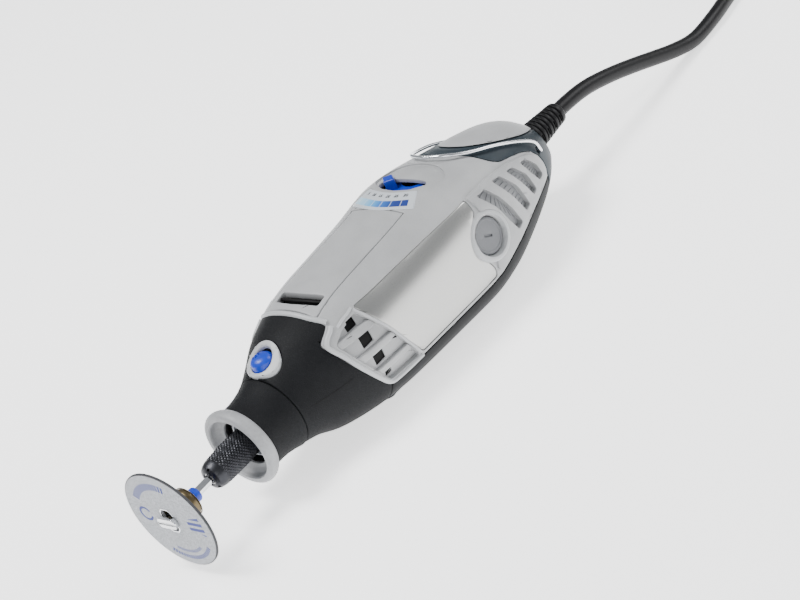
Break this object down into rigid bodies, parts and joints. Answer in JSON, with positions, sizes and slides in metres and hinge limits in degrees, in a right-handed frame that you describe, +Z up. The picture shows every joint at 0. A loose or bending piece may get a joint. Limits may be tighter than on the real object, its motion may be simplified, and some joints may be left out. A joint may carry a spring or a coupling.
{
  "type": "rotary hobby tool",
  "caption": "Hand-held rotary hobby tool with a cutting disc, collet nut, spindle lock, speed dial, folding hanger and mains cord.",
  "frame": {"origin": "centre of the tool's footprint on the surface it lies on, cord left out", "axes": "+Y along the tool from nose to cord, +Z up, +X to the side that carries the right brush cap"},
  "size_m": [0.0854, 0.4664, 0.0536],
  "materials": {
    "light_grey": "fine grained moulded plastic",
    "soft_black": "matte soft-touch grip",
    "slate": "satin moulded plastic",
    "silver": "satin silver paint",
    "blue": "satin blue plastic",
    "steel": "machined",
    "black_steel": "black oxide",
    "chrome": "polished",
    "brass": "dull turned brass",
    "copper": "varnished copper",
    "carbon": "pressed carbon",
    "cord_black": "satin cord sheath",
    "board": "circuit board",
    "abrasive": "pressed abrasive with a pale coating"
  },
  "bodies": {
    "housing": {"upper_housing": "light_grey", "top_cover": "light_grey", "tail_cover": "light_grey", "lock_bezel": "light_grey", "brush_cap_right": "light_grey", "brush_cap_left": "light_grey", "nose_housing": "soft_black", "lower_housing": "soft_black", "bearing_bracket": "soft_black", "switch_module": "soft_black", "cord_clamp": "soft_black", "cord_tie": "soft_black", "tail_cap": "slate", "side_plate_right": "silver", "side_plate_left": "silver", "scale_label": "blue", "stator_core": "steel", "front_bearing": "steel", "rear_bearing": "steel", "lock_spring": "steel", "brush_spring_right": "steel", "brush_spring_left": "steel", "housing_screw_1": "black_steel", "housing_screw_2": "black_steel", "housing_screw_3": "black_steel", "housing_screw_4": "black_steel", "nose_collar": "chrome", "plug_pin_1": "chrome", "plug_pin_2": "chrome", "brush_holder_right": "brass", "brush_holder_left": "brass", "field_coil_upper": "copper", "field_coil_lower": "copper", "carbon_brush_right": "carbon", "carbon_brush_left": "carbon", "strain_relief": "cord_black", "supply_cord": "cord_black", "cord_coil": "cord_black", "cord_tail": "cord_black", "plug_body": "cord_black", "speed_board": "board"},
    "spindle": {"armature_shaft": "steel", "armature_core": "steel", "armature_winding_front": "copper", "armature_winding_rear": "copper", "commutator": "copper", "fan": "soft_black", "collet": "steel", "mandrel_shank": "chrome", "mandrel_stop": "blue", "mandrel_head": "chrome", "cutting_disc": "abrasive"},
    "collet_nut": {"collet_nut": "black_steel"},
    "mandrel_sleeve": {"mandrel_sleeve": "brass"},
    "lock": {"lock_button": "blue", "lock_pin": "steel"},
    "dial": {"speed_dial": "blue"},
    "nose_cap": {"nose_cap": "soft_black", "nose_ring": "light_grey"},
    "hanger": {"hanger_bail": "chrome"}
  },
  "joints": [
    {"name": "spindle_spin", "type": "hinge", "parent": "housing", "child": "spindle", "pos_m": [0, -0.0418, 0.023], "axis": [0, 1, 0], "continuous": true},
    {"name": "collet_nut_turn", "type": "hinge", "parent": "spindle", "child": "collet_nut", "pos_m": [0, -0.0418, 0.023], "axis": [0, -1, 0], "range_deg": [0, 1080]},
    {"name": "sleeve_pull", "type": "slide", "parent": "spindle", "child": "mandrel_sleeve", "axis": [0, 1, 0], "range_m": [0, 0.0025], "stiffness_N_per_m": 800, "springref_m": -0.002},
    {"name": "lock_press", "type": "slide", "parent": "housing", "child": "lock", "axis": [0, 0, -1], "range_m": [0, 0.002], "stiffness_N_per_m": 500, "springref_m": -0.002, "deforming": ["lock_spring"]},
    {"name": "dial_turn", "type": "hinge", "parent": "housing", "child": "dial", "pos_m": [0, 0.0512, 0.045], "axis": [0, 0, 1], "range_deg": [0, 80]},
    {"name": "nose_cap_turn", "type": "hinge", "parent": "housing", "child": "nose_cap", "pos_m": [0, -0.0418, 0.023], "axis": [0, -1, 0], "range_deg": [0, 1080]},
    {"name": "hanger_swing", "type": "hinge", "parent": "housing", "child": "hanger", "pos_m": [0, 0.0938, 0.03], "axis": [-1, 0, 0], "range_deg": [0, 135]}
  ]
}
